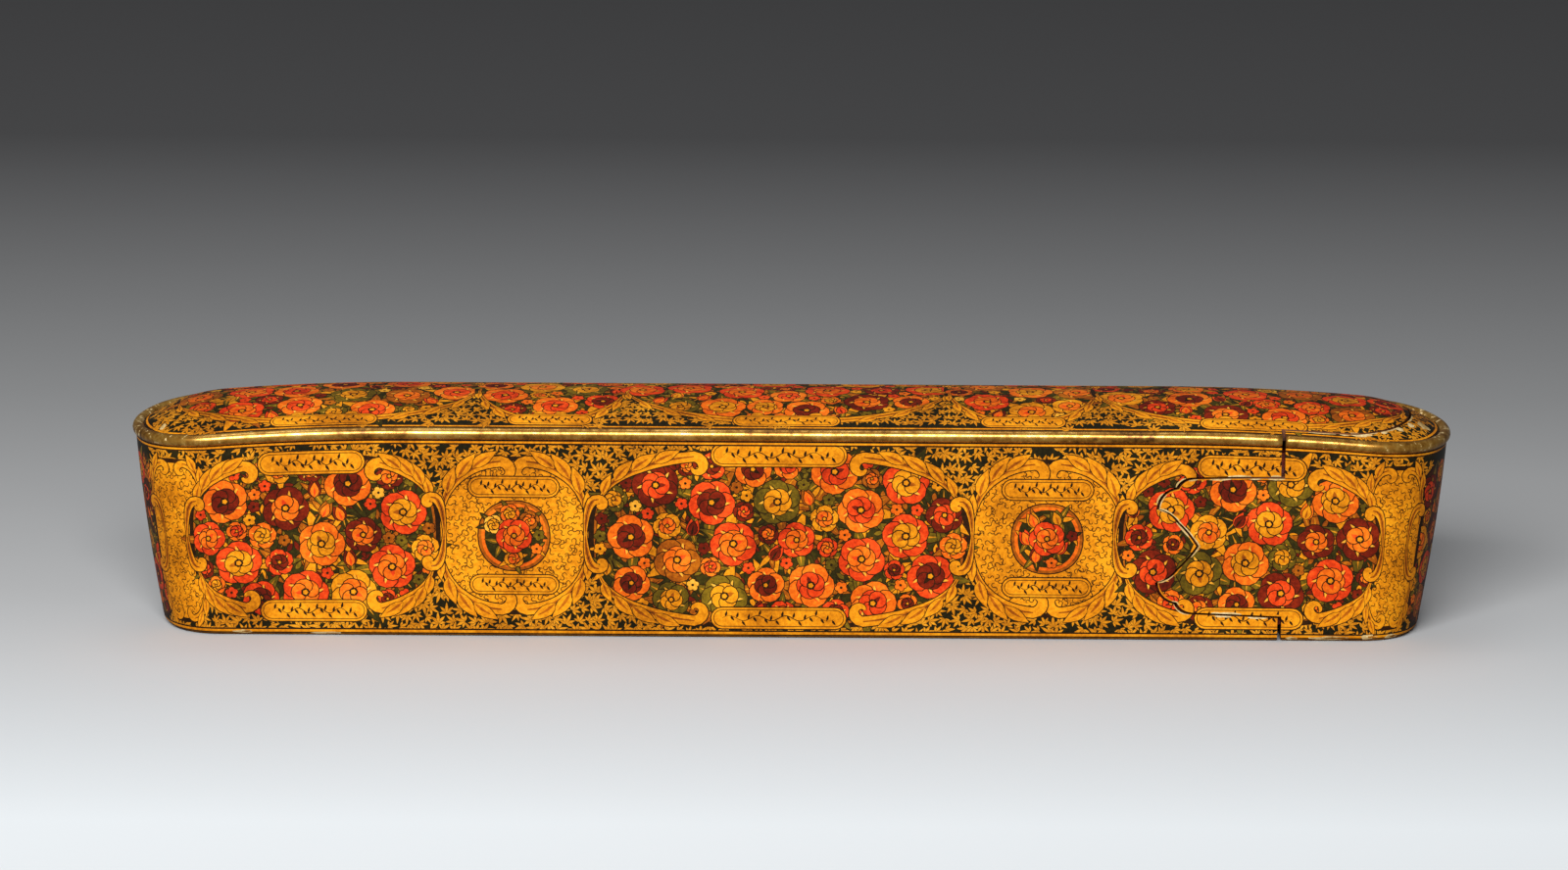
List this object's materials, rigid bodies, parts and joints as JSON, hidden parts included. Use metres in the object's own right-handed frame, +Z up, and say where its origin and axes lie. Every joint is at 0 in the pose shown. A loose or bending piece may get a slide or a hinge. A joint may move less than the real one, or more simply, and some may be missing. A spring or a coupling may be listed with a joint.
{
  "type": "sliding pen box",
  "caption": "Long lacquered pen box with rounded ends and a gilt moulding: a sleeve, a drawer with a scalloped head, an inkwell and a scribe's writing set.",
  "frame": {"origin": "centre of the flat base on which the box lies", "axes": "+X along the box towards the drawer's head, +Y towards the back, +Z up"},
  "size_m": [0.2398, 0.04, 0.0429],
  "materials": {
    "lacquered_papier_mache": "gloss",
    "drawer_lacquer": "gloss",
    "cast_brass": "satin",
    "reed": "satin",
    "ebony": "gloss",
    "blade_steel": "satin",
    "polished_bone": "satin"
  },
  "bodies": {
    "sleeve": {"sleeve": "lacquered_papier_mache"},
    "drawer": {"drawer_head": "lacquered_papier_mache", "drawer_tray": "drawer_lacquer", "tray_partition": "drawer_lacquer", "inkwell_body": "cast_brass", "inkwell_top": "cast_brass", "inkwell_lid": "cast_brass", "reed_pen_1": "reed", "reed_pen_2": "reed", "reed_pen_3": "reed", "penknife_handle": "ebony", "penknife_ferrule": "cast_brass", "penknife_blade": "blade_steel", "nib_rest": "polished_bone", "water_spoon": "cast_brass"}
  },
  "joints": [
    {"name": "drawer_slide", "type": "slide", "parent": "sleeve", "child": "drawer", "axis": [1, 0, 0], "range_m": [0, 0.2]}
  ]
}
